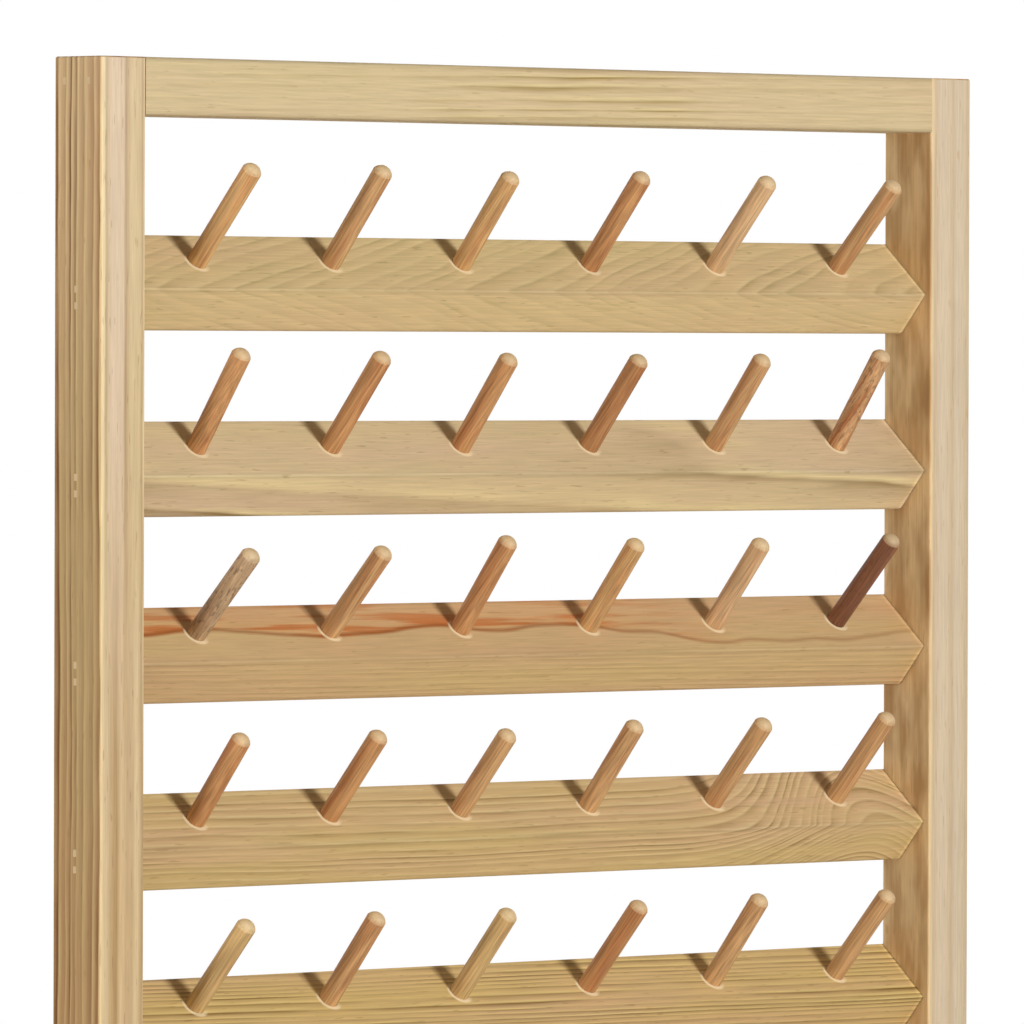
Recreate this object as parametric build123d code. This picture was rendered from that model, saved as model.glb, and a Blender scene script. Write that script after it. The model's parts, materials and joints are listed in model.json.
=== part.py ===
from build123d import *
import os
from math import atan2, cos, degrees, radians, sin

# Layout of the pegs. The rack holds one spool on each of sixty pegs.
rows = 10
columns = 6
column_pitch = 57.15
end_margin = 32.4
stile_length = 643.05
first_rail_drop = 53.6
lower_gap = 27.7

# Frame of square-edged pine: two stiles with a cross rail between them at the top and the bottom.
stile_width = 18.5
frame_depth = 21.0
cross_rail_height = 17.8
board_arris = 0.8
board_end_arris = 0.4

# Peg rail, a bar with a sloping upper face, a nose and a face that slopes back underneath.
rail_depth = 18.8
nose_drop = 16.9
rail_height = 29.6
heel_depth = 8.0
crest_radius = 0.3
nose_radius = 0.7
heel_radius = 2.2

# Birch dowel peg, glued in a blind socket square to the upper face of its rail. It tapers a
# little from just above the rail to its hidden end, so that it starts easily in the socket.
peg_diameter = 6.35
peg_reach = 36.5
crown_height = 2.2
peg_taper_rise = 0.5
peg_end_share = 0.94
socket_depth = 9.2
socket_floor_gap = 0.2
socket_fit = 0.05
socket_face_share = 0.5

# The sockets are drilled by hand: each peg leans a few degrees more upright or less.
peg_leans_degrees = (
    (0.6, 2.4, 3.0, 2.0, 0.8, -1.6),
    (7.1, 2.3, 4.1, 2.6, 3.9, 7.3),
    (-3.0, -1.9, 4.4, 3.0, 2.5, -1.0),
    (3.1, 0.7, 0.8, 2.9, 0.2, 0.5),
    (0.0, 2.5, 1.4, 0.4, 3.3, 0.0),
    (2.2, 1.0, 3.4, 0.6, 2.8, 1.6),
    (0.9, 3.1, 1.8, 2.4, -0.8, 2.0),
    (2.6, -0.5, 2.9, 1.2, 2.1, 3.3),
    (1.4, 2.0, 0.3, 3.2, 1.7, 0.8),
    (3.0, 1.1, 2.3, 1.9, 0.5, 2.7),
)

# The dowels are cut by hand too, so what stands out of a rail differs a little.
peg_reach_shares = (
    (1.07, 1.05, 1.00, 1.04, 1.03, 1.04),
    (1.01, 1.04, 1.00, 1.01, 1.00, 1.01),
    (1.00, 0.99, 1.00, 0.97, 0.96, 1.04),
    (0.94, 0.96, 0.93, 0.96, 0.98, 1.00),
    (0.99, 0.97, 0.96, 1.00, 0.97, 1.00),
    (1.00, 0.98, 1.02, 0.97, 1.01, 0.99),
    (0.97, 1.01, 0.99, 1.03, 1.00, 0.98),
    (1.02, 0.99, 0.97, 1.00, 0.98, 1.01),
    (0.98, 1.00, 1.01, 0.96, 1.02, 1.00),
    (1.01, 0.97, 1.00, 0.99, 1.00, 0.98),
)

# Two T-headed brads of flattened wire through each stile into the end of each rail, the long
# side of the head along the grain, sunk and covered with filler.
brad_width = 1.25
brad_thickness = 1.0
brad_length = 30.0
brad_head_length = 2.0
brad_head_height = 0.8
brad_fit = 0.05
filler_depth = 1.5
rail_brad_depth_share = 0.52
rail_brad_drop_shares = (0.58, 0.75)
cross_brad_depth_shares = (0.21, 0.72)
cross_brad_drop_share = 0.42

# Side feet: a bar across the foot of each stile, held by two countersunk screws.
foot_length = 210.0
foot_height = 38.0
foot_width = 18.5
foot_toe_height = 16.0
foot_top_length = 150.0
foot_arris = 1.0
screw_diameter = 4.0
screw_head_diameter = 8.0
screw_head_height = 2.6
screw_length = 31.0
screw_tip_length = 4.0
screw_fit = 0.05
screw_recess_width = 1.0
screw_recess_depth = 1.4
screw_recess_span_share = 0.55
screw_height_shares = (0.28, 0.74)

# Length that a cutter runs past the face it enters by.
overrun = 1.0

# Places that follow from the sizes above. X runs to the right, Z up, and the front faces -Y.
inner_width = 2 * end_margin + (columns - 1) * column_pitch
last_rail_drop = stile_length - cross_rail_height - lower_gap - rail_height
row_pitch = (last_rail_drop - first_rail_drop) / (rows - 1)
half_depth = frame_depth / 2
half_inner = inner_width / 2
stile_outer_x = half_inner + stile_width
foot_outer_x = stile_outer_x + foot_width
face_angle = atan2(rail_depth, nose_drop)
screw_places = [share * foot_height for share in screw_height_shares]


def rail_top(row):
    """Height of the top edge of a peg rail, counted from the top of the rack."""
    return stile_length - first_rail_drop - row * row_pitch


def wrapped(table, row, column):
    """Entry of a table of pegs, starting over where the rack has more pegs than the table."""
    line = table[row % len(table)]
    return line[column % len(line)]


def peg_place(row, column):
    """Plane at the mouth of a socket, with its normal along the peg."""
    lean = face_angle + radians(wrapped(peg_leans_degrees, row, column))
    x = -half_inner + end_margin + column * column_pitch
    y = half_depth - socket_face_share * rail_depth
    z = rail_top(row) - socket_face_share * nose_drop
    return Plane(origin=(x, y, z), x_dir=(1, 0, 0), z_dir=(0, -cos(lean), sin(lean)))


def brad_places():
    """Depth and height of each brad on the side of a stile."""
    places = []
    for underside in (stile_length - cross_rail_height, 0):
        z = underside + (1 - cross_brad_drop_share) * cross_rail_height
        places += [(half_depth - share * frame_depth, z) for share in cross_brad_depth_shares]
    for row in range(rows):
        y = half_depth - rail_brad_depth_share * rail_depth
        places += [(y, rail_top(row) - share * rail_height) for share in rail_brad_drop_shares]
    return places


def lying_bar(side, x, y, z, breadth, height, length):
    """Square-edged bar along X that runs from x into the rack for its length."""
    return Pos(side * (x - length / 2), y, z) * Box(length, breadth, height)


def brad_holes(side):
    """Pilot holes of one side of the rack, each with the pocket of its head and filler."""
    breadth = brad_width + 2 * brad_fit
    mouth = stile_outer_x + overrun
    pocket_depth = overrun + filler_depth + brad_head_height
    pocket_height = brad_head_length + 2 * brad_fit
    pilot_depth = overrun + filler_depth + brad_length + brad_fit
    pilot_height = brad_thickness + 2 * brad_fit
    holes = []
    for y, z in brad_places():
        holes.append(lying_bar(side, mouth, y, z, breadth, pocket_height, pocket_depth))
        holes.append(lying_bar(side, mouth, y, z, breadth, pilot_height, pilot_depth))
    return holes


def brads(side):
    """The sunk brads of one side of the rack."""
    start = stile_outer_x - filler_depth
    nails = []
    for y, z in brad_places():
        head = lying_bar(side, start, y, z, brad_width, brad_head_length, brad_head_height)
        nails.append(head + lying_bar(side, start, y, z, brad_width, brad_thickness, brad_length))
    return nails


def fillers(side):
    """The plugs of wood filler over the brads of one side of the rack."""
    breadth = brad_width + 2 * brad_fit
    height = brad_head_length + 2 * brad_fit
    x = stile_outer_x
    return [lying_bar(side, x, y, z, breadth, height, filler_depth) for y, z in brad_places()]


def planed(board, grain):
    """A planed board with its long arrises, along the grain, eased to a small radius."""
    size = board.bounding_box().size
    thinnest = min(size.X, size.Y, size.Z)
    return fillet(board.edges().filter_by(grain), min(board_arris, thinnest / 3))


def screw_profile(fit):
    """Half section of a countersunk screw, its head flush at zero and its tip above it."""
    head = screw_head_diameter / 2 + fit
    shank = screw_diameter / 2 + fit
    return make_face(
        Polyline(
            (0, 0),
            (head, 0),
            (shank, screw_head_height),
            (shank, screw_length - screw_tip_length),
            (0, screw_length + fit),
            close=True,
        )
    )


def screw_body(fit=0):
    """Solid of revolution of one screw along +Z, or of its hole where there is a fit."""
    return revolve(Plane.XZ * screw_profile(fit), axis=Axis.Z)


def screw_place(side, z):
    """Plane at the mouth of a screw hole on a foot, with its normal pointing into the foot."""
    return Plane(origin=(side * foot_outer_x, 0, z), x_dir=(0, 1, 0), z_dir=(-side, 0, 0))


def foot_screws(side):
    """The screws that hold one foot, each with a cross recess in its head."""
    span = screw_recess_span_share * screw_head_diameter
    arm = Box(span, screw_recess_width, 2 * screw_recess_depth)
    recess = arm + Rotation(0, 0, 90) * arm
    screw = screw_body() - recess
    return [screw_place(side, z) * screw for z in screw_places]


def screw_holes(side):
    """Countersunk holes through a foot and on into its stile."""
    return [screw_place(side, z) * screw_body(screw_fit) for z in screw_places]


def stile(side):
    """Upright of the frame on one side, bored for its brads and for the screws of its foot."""
    board = planed(Box(stile_width, frame_depth, stile_length), Axis.Z)
    ends = board.faces().sort_by(Axis.Z)[-1].edges() + board.faces().sort_by(Axis.Z)[0].edges()
    board = chamfer(ends, min(board_end_arris, board_arris, stile_width / 3))
    x = side * (half_inner + stile_width / 2)
    return Pos(x, 0, stile_length / 2) * board - brad_holes(side) - screw_holes(side)


def cross_rail(underside):
    """Board between the stiles, flush with their front and back."""
    board = planed(Box(inner_width, frame_depth, cross_rail_height), Axis.X)
    board = Pos(0, 0, underside + cross_rail_height / 2) * board
    return board - brad_holes(-1) - brad_holes(1)


def peg_rail(row):
    """Bar that carries a row of pegs, cut from its section and drilled with blind sockets."""
    top = rail_top(row)
    section = FilletPolyline(
        (half_depth, top),
        (half_depth - rail_depth, top - nose_drop),
        (half_depth - heel_depth, top - rail_height),
        (half_depth, top - rail_height),
        radius=[crest_radius, nose_radius, heel_radius, crest_radius],
        close=True,
    )
    bar = extrude(Plane.YZ * make_face(section), amount=half_inner, both=True)
    drill = Cylinder(
        peg_diameter / 2 + socket_fit,
        socket_depth + peg_diameter,
        align=(Align.CENTER, Align.CENTER, Align.MIN),
    )
    drill = Pos(0, 0, -socket_depth) * drill
    sockets = [peg_place(row, column) * drill for column in range(columns)]
    return bar - sockets - brad_holes(-1) - brad_holes(1)


def peg(reach):
    """Dowel along +Z with a crowned end, from its tapered seat in the socket to its reach."""
    radius = peg_diameter / 2
    seat = socket_floor_gap - socket_depth
    shoulder = reach - crown_height
    crown_radius = (radius**2 + crown_height**2) / (2 * crown_height)
    halfway = atan2(radius, crown_radius - crown_height) / 2
    crown = ThreePointArc(
        (radius, shoulder),
        (crown_radius * sin(halfway), reach - crown_radius * (1 - cos(halfway))),
        (0, reach),
    )
    outline = Polyline(
        (0, reach),
        (0, seat),
        (peg_end_share * radius, seat),
        (radius, peg_taper_rise),
        (radius, shoulder),
    )
    return revolve(Plane.XZ * make_face(outline + crown), axis=Axis.Z)


def pegs(row):
    """The pegs of one row."""
    dowels = []
    for column in range(columns):
        reach = peg_reach * wrapped(peg_reach_shares, row, column)
        dowels.append(peg_place(row, column) * peg(reach))
    return dowels


def foot(side):
    """Bar across the foot of a stile with its upper corners cut off."""
    half = foot_length / 2
    half_top = foot_top_length / 2
    outline = Polyline(
        (-half, 0),
        (half, 0),
        (half, foot_toe_height),
        (half_top, foot_height),
        (-half_top, foot_height),
        (-half, foot_toe_height),
        close=True,
    )
    bar = extrude(Plane.YZ * make_face(outline), amount=foot_width / 2, both=True)
    bar = chamfer(bar.edges(), min(foot_arris, foot_width / 3))
    return Pos(side * (stile_outer_x + foot_width / 2), 0, 0) * bar - screw_holes(side)


def save(name, shape):
    """Write one node. A node of several like pieces keeps them as separate solids."""
    if isinstance(shape, list):
        shape = Compound(children=shape)
    export_step(shape, os.path.join("parts", name + ".step"))


def main():
    """Build every piece of the rack and write it out."""
    os.makedirs("parts", exist_ok=True)
    for side, name in ((-1, "left"), (1, "right")):
        save(name + "_stile", stile(side))
        save(name + "_brads", brads(side))
        save(name + "_fillers", fillers(side))
        save(name + "_foot", foot(side))
        save(name + "_foot_screws", foot_screws(side))
    save("top_rail", cross_rail(stile_length - cross_rail_height))
    save("bottom_rail", cross_rail(0))
    for row in range(rows):
        save(f"peg_rail_{row + 1}", peg_rail(row))
        save(f"pegs_row_{row + 1}", pegs(row))
    lean = degrees(face_angle)
    print(f"rack {2 * foot_outer_x:.1f} wide, {stile_length:.1f} high, pegs at {lean:.1f} degrees")


main()
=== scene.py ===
"""Dresses a pine thread rack with dowel pegs in the finish of each piece, and sets it in a plain studio."""

import json
import logging
import math
import random
from dataclasses import dataclass, replace
from enum import Enum

import bmesh
import bpy
from mathutils import Matrix, Vector


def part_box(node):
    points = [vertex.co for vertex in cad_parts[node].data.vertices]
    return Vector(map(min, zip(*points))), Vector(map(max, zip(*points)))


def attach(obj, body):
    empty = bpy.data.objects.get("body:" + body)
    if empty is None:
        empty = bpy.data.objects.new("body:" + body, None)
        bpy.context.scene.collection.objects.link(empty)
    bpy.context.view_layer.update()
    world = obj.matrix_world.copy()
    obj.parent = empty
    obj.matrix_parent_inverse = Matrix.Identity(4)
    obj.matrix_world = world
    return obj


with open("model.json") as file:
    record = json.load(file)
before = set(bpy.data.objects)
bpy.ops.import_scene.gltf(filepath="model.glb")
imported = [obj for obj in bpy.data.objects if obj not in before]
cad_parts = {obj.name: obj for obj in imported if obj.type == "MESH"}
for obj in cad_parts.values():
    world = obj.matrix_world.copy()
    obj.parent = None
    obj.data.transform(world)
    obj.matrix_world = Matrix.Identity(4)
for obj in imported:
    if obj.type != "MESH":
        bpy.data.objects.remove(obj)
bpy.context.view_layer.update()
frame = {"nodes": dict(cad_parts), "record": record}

MM = 0.001
PHOTO_WIDTH_PX = 1024
WHITE = (1.0, 1.0, 1.0, 1.0)
WOOD_IOR = 1.5
RAW_WOOD_SPECULAR = 0.14  # open fibres scatter most of what a polished face would mirror
SANDED_DOWEL_SPECULAR = 0.35  # close birch is a little glossier than pine
log = logging.getLogger("rack")

Socket = bpy.types.NodeSocket
Tree = bpy.types.NodeTree
Stops = tuple[tuple[float, object], ...]

# Inputs of a map range node and of a mix node for colours, and what makes a mix node one for colours.
VALUE, FROM_LOW, FROM_HIGH, TO_LOW, TO_HIGH = range(5)
SHARE, UNDER, OVER = 0, 6, 7
COLOURS = {"out": 2, "data_type": "RGBA"}


def linear(code: str) -> tuple[float, float, float, float]:
    """Linear colour, with an alpha of one, of an sRGB hex code that starts with a hash sign."""
    channels = [int(code[i : i + 2], 16) / 255 for i in (1, 3, 5)]
    return tuple(
        c / 12.92 if c <= 0.04045 else ((c + 0.055) / 1.055) ** 2.4 for c in channels
    ) + (1.0,)


def add(
    tree: Tree, kind: str, feeds: dict | None = None, out: int | str = 0, stops: Stops = (), **settings: object
) -> Socket | None:
    """Add a node to a tree, with its settings and what feeds its sockets.

    Args:
        tree: Node tree of a material or of the world.
        kind: Blender's name for the node's type, after "ShaderNode".
        feeds: Input name or number, with a value or the output that is linked to it.
        out: Name or number of the output that is wanted.
        stops: For a colour ramp, the place of each stop and its colour or grey level, in order.
        settings: Properties of the node itself.

    Returns:
        The output that is wanted, or None from a node that has none.
    """
    node = tree.nodes.new("ShaderNode" + kind)
    for name, value in settings.items():
        setattr(node, name, value)
    for socket, value in (feeds or {}).items():
        if isinstance(value, Socket):
            tree.links.new(value, node.inputs[socket])
        else:
            node.inputs[socket].default_value = value
    if stops:
        marks = node.color_ramp.elements
        for _ in stops[2:]:
            marks.new(0.5)
        for mark, (place, colour) in zip(marks, stops):
            mark.position = place
            mark.color = colour if isinstance(colour, tuple) else (colour, colour, colour, 1.0)
    return node.outputs[out] if node.outputs else None


def new_material(name: str) -> tuple[bpy.types.Material, Tree]:
    """Start a material with an empty node tree.

    Args:
        name: Name of the finish.

    Returns:
        The material and its tree.
    """
    material = bpy.data.materials.new(name)
    material.use_nodes = True
    material.node_tree.nodes.clear()
    return material, material.node_tree


class Grain(Enum):
    """Which way the fibres of a board run, as the order of X, Y and Z that puts them first."""

    ACROSS = (0, 1, 2)
    DEEP = (1, 0, 2)
    UPRIGHT = (2, 0, 1)


class Pattern(Enum):
    """Noise in wood, as its turns per millimetre along each axis of the board or stick, and its detail."""

    TONE = ((1 / 170, 1 / 16, 1 / 16), 2.0)
    VIGOUR = ((1 / 55, 1 / 6, 1 / 6), 2.0)
    CLOUD = ((1 / 26, 1 / 7, 1 / 7), 2.0)
    RIPPLE = ((1 / 30, 1 / 6, 1 / 6), 1.5)
    STREAK = ((1 / 45, 1 / 3, 1 / 3), 2.0)
    SWAY = ((1 / 60, 0.0, 0.0), 2.0)
    WAVE = ((1 / 55, 0.0, 0.0), 1.5)
    FIBRE = ((1 / 16, 1.6, 1.6), 3.0)  # bundles of fibres, about ten times as coarse as real ones, to show
    DUCT = ((1 / 6, 1.4, 1.4), 0.0)  # resin ducts, about twice as coarse as real ones, to show
    PEG_FIBRE = ((1.9, 1.9, 1 / 18), 3.0)  # as coarse as those of the boards
    PEG_BAND = ((0.42, 0.42, 1 / 45), 2.0)
    PEG_SPECK = ((1.1, 1.1, 1 / 2.4), 1.0)


def wood_noise(tree: Tree, place: Socket, pattern: Pattern, seed: float = 0.0) -> Socket:
    """Draw one of the noises in wood.

    Args:
        tree: Node tree of the material.
        place: Point in millimetres, by the axes of the board or stick.
        pattern: Scale and detail of the noise.
        seed: Moves the noise, so that no two boards are alike.

    Returns:
        The noise, from zero to one.
    """
    rate, detail = pattern.value
    spot = add(tree, "Mapping", {0: place, "Location": (seed, 3 * seed, 0), "Scale": rate})
    return add(tree, "TexNoise", {"Vector": spot, "Scale": 1.0, "Detail": detail})


@dataclass(frozen=True)
class Spot:
    """The point of a board that is being shaded, in millimetres from the board's middle."""

    tree: Tree
    place: Socket
    along: Socket
    across: Socket
    up: Socket
    normal: Socket
    facing: tuple[Socket, Socket, Socket]

    @classmethod
    def on_board(cls, tree: Tree, centre: Vector, grain: Grain) -> "Spot":
        """Set out a board's axes, the first of them along its fibres.

        Args:
            tree: Node tree of the board's material.
            centre: Middle of the board, in metres.
            grain: Which way its fibres run.

        Returns:
            The point by those axes, with the direction that its face looks in.
        """
        coords = add(tree, "TexCoord").node.outputs
        scale = (1 / MM,) * 3
        local = add(tree, "Mapping", {0: coords["Object"], "Location": -centre / MM, "Scale": scale})
        split = add(tree, "SeparateXYZ", {0: local}).node.outputs
        along, across, up = (split[axis] for axis in grain.value)
        place = add(tree, "CombineXYZ", {0: along, 1: across, 2: up})
        facing = add(tree, "SeparateXYZ", {0: coords["Normal"]}).node.outputs
        return cls(tree, place, along, across, up, coords["Normal"], tuple(facing))


@dataclass(frozen=True)
class Heart:
    """Reddish heartwood on one side of a wavy line, in millimetres above the middle of the slope."""

    above: float
    wave: float = 4.0
    strength: float = 1.0
    fade: tuple[float, float] = (200.0, 260.0)
    fall: float = 0.0
    tint_share: float = 0.55
    colour: str = "#C46C2E"
    tint: str = "#DFA56C"
    edge_colour: str = "#8A5024"


@dataclass(frozen=True)
class Bands:
    """Broad stripes where the front of a board cuts the rings nearly flat, by place across it.

    Over turn_over, in millimetres above its middle, the low stripes change into the others.
    """

    stops: tuple[tuple[float, str], ...]
    low_stops: tuple[tuple[float, str], ...] = ()
    turn_over: tuple[float, float] = (110.0, 210.0)
    share: float = 0.88
    sway: float = 1.3
    # Painted light that pales the stripes towards the top of the board.
    painted_top_light: float = 0.3
    painted_top_light_from: tuple[float, float] = (60.0, 320.0)
    painted_top_light_colour: str = "#F6E8D2"


@dataclass(frozen=True)
class Slope:
    """Upper face of a peg rail, with the sockets that are drilled in it."""

    run: float
    drop: float
    first: float
    pitch: float
    middle: tuple[float, float]
    # The last four fields set a painted highlight on the lower left of each socket's rim.
    rim: float = 4.7
    rim_fade: float = 0.6
    rim_highlight_share: float = 0.72
    rim_highlight_colour: str = "#FBE9C2"

    @property
    def uphill(self) -> tuple[float, float]:
        """Direction up the slope, as depth and height."""
        length = math.hypot(self.run, self.drop)
        return self.run / length, self.drop / length

    def height(self, at: Spot) -> Socket:
        """Measure how far up the slope a point is.

        Args:
            at: The point.

        Returns:
            Its distance from the middle of the slope.
        """
        depth, rise = self.uphill
        start = -self.middle[0] * depth - self.middle[1] * rise
        level = add(at.tree, "Math", {0: at.up, 1: rise, 2: start}, operation="MULTIPLY_ADD")
        return add(at.tree, "Math", {0: at.across, 1: depth, 2: level}, operation="MULTIPLY_ADD")


@dataclass(frozen=True)
class Pine:
    """Planed and sanded pine, unfinished: matt, pale earlywood with darker and smoother latewood lines.

    The rings are cylinders about the pith of the log, cut by the faces of the board, so one
    pattern gives the straight lines of one face and the arches of the next. All lengths are
    in millimetres, and the pith is counted from the middle of the board.
    """

    pith: tuple[float, float]
    grain: Grain = Grain.ACROSS
    ring: float = 2.6
    lean: tuple[float, float] = (0.0, 0.0)
    arch: tuple[float, float, float] = (0.0, 1.0, 0.0)
    wander: float = 2.0
    wander_length: float = 160.0
    wander_width: float = 45.0
    uneven: float = 1.0
    ripple: float = 0.28
    early: str = "#DFC592"
    late: str = "#A08047"
    pale: str = "#EFDAA4"
    blush: str = "#E2BF98"
    contrast: float = 0.6
    quiet_top: float = 1.0
    busy: tuple[float, float] = (0.0, 0.0)
    mottle: float = 0.0
    mottle_colour: str = "#B4834E"
    heart: Heart | None = None
    bands: Bands | None = None
    slope: Slope | None = None
    joint_at: float = 0.0
    joint_width: float = 3.0
    # Colour scale of end faces: under one the darker end grain, over one painted light.
    end_grain_and_painted_light: float = 0.8
    arrises: tuple[tuple[float, float], ...] = ()
    # Colour scale along the arrises: over one a painted highlight, under one painted shade.
    arris_painted_light: float = 1.12
    arris_painted_light_reach: tuple[float, float] = (0.3, 1.6)
    # Painted shade: colour scale at the lower part of an upright, fading out over the given heights.
    painted_low_shade: tuple[float, float, float] = (1.0, 1.0, 1.0)
    painted_low_shade_from: tuple[float, float] = (180.0, 330.0)
    fibre_shade: tuple[float, float] = (0.91, 1.07)
    rough: tuple[float, float] = (0.66, 0.54)
    relief: float = 0.1
    seed: float = 0.0

    def make(self, node: str) -> bpy.types.Material:
        """Build the material of a board.

        Args:
            node: Name of the board's node.

        Returns:
            The material, with its pattern set out from the middle of the board.
        """
        material, tree = new_material(f"pine_{node}")
        at = Spot.on_board(tree, middle(node), self.grain)
        part, vigour = self._rings(at)
        darkness = ((0.0, 0.35), (0.12, 0.0), (0.45, 0.08), (0.78, 0.6), (0.92, 1.0), (1.0, 0.35))
        line = add(tree, "ValToRGB", {0: part}, stops=darkness)
        line = add(tree, "Math", {0: line, 1: vigour}, operation="MULTIPLY")
        wood = self._figured(at, part, line)
        for layer in (self._painted_height_shade, self._banded, self._hearted):
            wood = layer(at, wood)
        fibre = wood_noise(tree, at.place, Pattern.FIBRE, self.seed)
        dark, light = self.fibre_shade
        shade = add(tree, "MapRange", {VALUE: fibre, FROM_LOW: 0.3, FROM_HIGH: 0.7, TO_LOW: dark, TO_HIGH: light})
        wood = add(tree, "VectorMath", {0: wood, "Scale": shade}, operation="SCALE")
        for layer in (self._flecked, self._painted_rim_highlight, self._ended, self._painted_arris_light):
            wood = layer(at, wood)
        height = add(tree, "Math", {0: line, 1: 0.35, 2: fibre}, operation="MULTIPLY_ADD")
        bump = add(tree, "Bump", {"Height": height, "Strength": 0.3, "Distance": self.relief * MM})
        earlywood, latewood = self.rough
        rough = add(tree, "MapRange", {VALUE: line, TO_LOW: earlywood, TO_HIGH: latewood})
        shader = add(
            tree,
            "BsdfPrincipled",
            {"Base Color": wood, "Roughness": rough, "Normal": bump, "IOR": WOOD_IOR,
             "Specular IOR Level": RAW_WOOD_SPECULAR},
        )
        add(tree, "OutputMaterial", {0: shader})
        return material

    def _rings(self, at: Spot) -> tuple[Socket, Socket]:
        """Grow the rings of the log about its pith.

        Args:
            at: The point of the board.

        Returns:
            Part of that year's growth, from zero to one, and how dark the year ended.
        """
        tree = at.tree
        moved = add(tree, "SeparateXYZ", {0: self._wandered(at)}).node.outputs
        sides = []
        for side, pith, lean in zip(moved[1:], self.pith, self.lean):
            core = add(tree, "Math", {0: at.along, 1: lean, 2: pith}, operation="MULTIPLY_ADD")
            sides.append(add(tree, "Math", {0: side, 1: core}, operation="SUBTRACT"))
        crest, width, height = self.arch
        if height:
            bell = at.along
            steps = (("SUBTRACT", crest), ("DIVIDE", width), ("POWER", 2.0), ("MULTIPLY", -1.0), ("EXPONENT", 0.0))
            for operation, by in steps:
                bell = add(tree, "Math", {0: bell, 1: by}, operation=operation)
            sides[1] = add(tree, "Math", {0: bell, 1: -height, 2: sides[1]}, operation="MULTIPLY_ADD")
        flat = add(tree, "CombineXYZ", {1: sides[0], 2: sides[1]})
        radius = add(tree, "VectorMath", {0: flat}, "Value", operation="LENGTH")
        ripple = wood_noise(tree, at.place, Pattern.RIPPLE, self.seed)
        radius = add(tree, "Math", {0: ripple, 1: self.ripple * self.ring, 2: radius}, operation="MULTIPLY_ADD")
        age = add(tree, "Math", {0: radius, 1: self.ring}, operation="DIVIDE")
        pace = self._by_age(at, age, rate=0.31, detail=0.0)
        age = add(tree, "Math", {0: pace, 1: 1.8 * self.uneven, 2: age}, operation="MULTIPLY_ADD")
        year = self._by_age(at, age, rate=0.77, detail=1.0)
        weak, strong = 1.0 - 0.7 * self.uneven, 1.0 + 0.1 * self.uneven
        dark = {VALUE: year, FROM_LOW: 0.36, FROM_HIGH: 0.62, TO_LOW: weak, TO_HIGH: strong}
        return add(tree, "Math", {0: age}, operation="FRACT"), add(tree, "MapRange", dark)

    def _wandered(self, at: Spot) -> Socket:
        """Push a point about a little, as the fibres of a tree wander.

        Args:
            at: The point of the board.

        Returns:
            The point that it is pushed to.
        """
        tree = at.tree
        rate = (1 / self.wander_length, 1 / self.wander_width, 1 / self.wander_width)
        spot = add(tree, "Mapping", {0: at.place, "Location": (5 * self.seed, 0, self.seed), "Scale": rate})
        swirl = add(tree, "TexNoise", {"Vector": spot, "Scale": 1.0, "Detail": 1.5}, "Color")
        reach = {0: swirl, 1: (2 * self.wander,) * 3, 2: (-self.wander,) * 3}
        push = add(tree, "VectorMath", reach, operation="MULTIPLY_ADD")
        return add(tree, "VectorMath", {0: at.place, 1: push}, operation="ADD")

    @staticmethod
    def _by_age(at: Spot, age: Socket, rate: float, detail: float) -> Socket:
        """Noise that is the same all round a ring, its rate in turns per year from the pith."""
        years = add(at.tree, "Math", {0: age, 1: rate}, operation="MULTIPLY")
        return add(at.tree, "TexNoise", {"W": years, "Scale": 1.0, "Detail": detail}, noise_dimensions="1D")

    def _figured(self, at: Spot, part: Socket, line: Socket) -> Socket:
        """Colour the wood by its rings.

        Args:
            at: The point of the board.
            part: Part of the year's growth.
            line: How dark the latewood is there.

        Returns:
            Colour of the wood.
        """
        tree = at.tree
        paleness = ((0.0, 0.6), (0.08, 1.0), (0.32, 0.2), (0.5, 0.0), (0.93, 0.1), (1.0, 0.6))
        glow = add(tree, "ValToRGB", {0: part}, stops=paleness)
        tone = wood_noise(tree, at.place, Pattern.TONE, self.seed)
        share = add(tree, "ValToRGB", {0: tone}, stops=((0.36, 0.0), (0.66, 1.0)))
        wood = add(tree, "Mix", {SHARE: share, UNDER: linear(self.early), OVER: linear(self.blush)}, **COLOURS)
        if self.mottle:
            cloud = wood_noise(tree, at.place, Pattern.CLOUD, self.seed)
            share = add(tree, "ValToRGB", {0: cloud}, stops=((0.42, 0.0), (0.62, self.mottle)))
            wood = add(tree, "Mix", {SHARE: share, UNDER: wood, OVER: linear(self.mottle_colour)}, **COLOURS)
        strength = self._strength(at)
        for lines, colour in ((glow, self.pale), (line, self.late)):
            share = add(tree, "Math", {0: lines, 1: strength}, operation="MULTIPLY")
            wood = add(tree, "Mix", {SHARE: share, UNDER: wood, OVER: linear(colour)}, **COLOURS)
        return wood

    def _strength(self, at: Spot) -> Socket:
        """Let the rings show more in some places than in others.

        Args:
            at: The point of the board.

        Returns:
            How strongly they show: it changes slowly along the board and by face.
        """
        tree = at.tree
        slow = wood_noise(tree, at.place, Pattern.VIGOUR, self.seed)
        faint, clear = 0.3 * self.contrast, 1.3 * self.contrast
        plain = {VALUE: slow, FROM_LOW: 0.34, FROM_HIGH: 0.66, TO_LOW: faint, TO_HIGH: clear}
        share = add(tree, "MapRange", plain)
        if self.quiet_top != 1.0:
            top = {VALUE: at.facing[2], FROM_LOW: 0.0, FROM_HIGH: 0.4, TO_LOW: 1.0, TO_HIGH: self.quiet_top}
            share = add(tree, "Math", {0: share, 1: add(tree, "MapRange", top)}, operation="MULTIPLY")
        middle, half = self.busy
        if half:
            away = add(tree, "Math", {0: at.along, 1: middle}, operation="SUBTRACT")
            away = add(tree, "Math", {0: away}, operation="ABSOLUTE")
            reach = {VALUE: away, FROM_LOW: 0.6 * half, FROM_HIGH: 1.2 * half, TO_LOW: 1.0, TO_HIGH: 0.25}
            near = add(tree, "MapRange", reach, interpolation_type="SMOOTHSTEP")
            share = add(tree, "Math", {0: share, 1: near}, operation="MULTIPLY")
        return share

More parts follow.
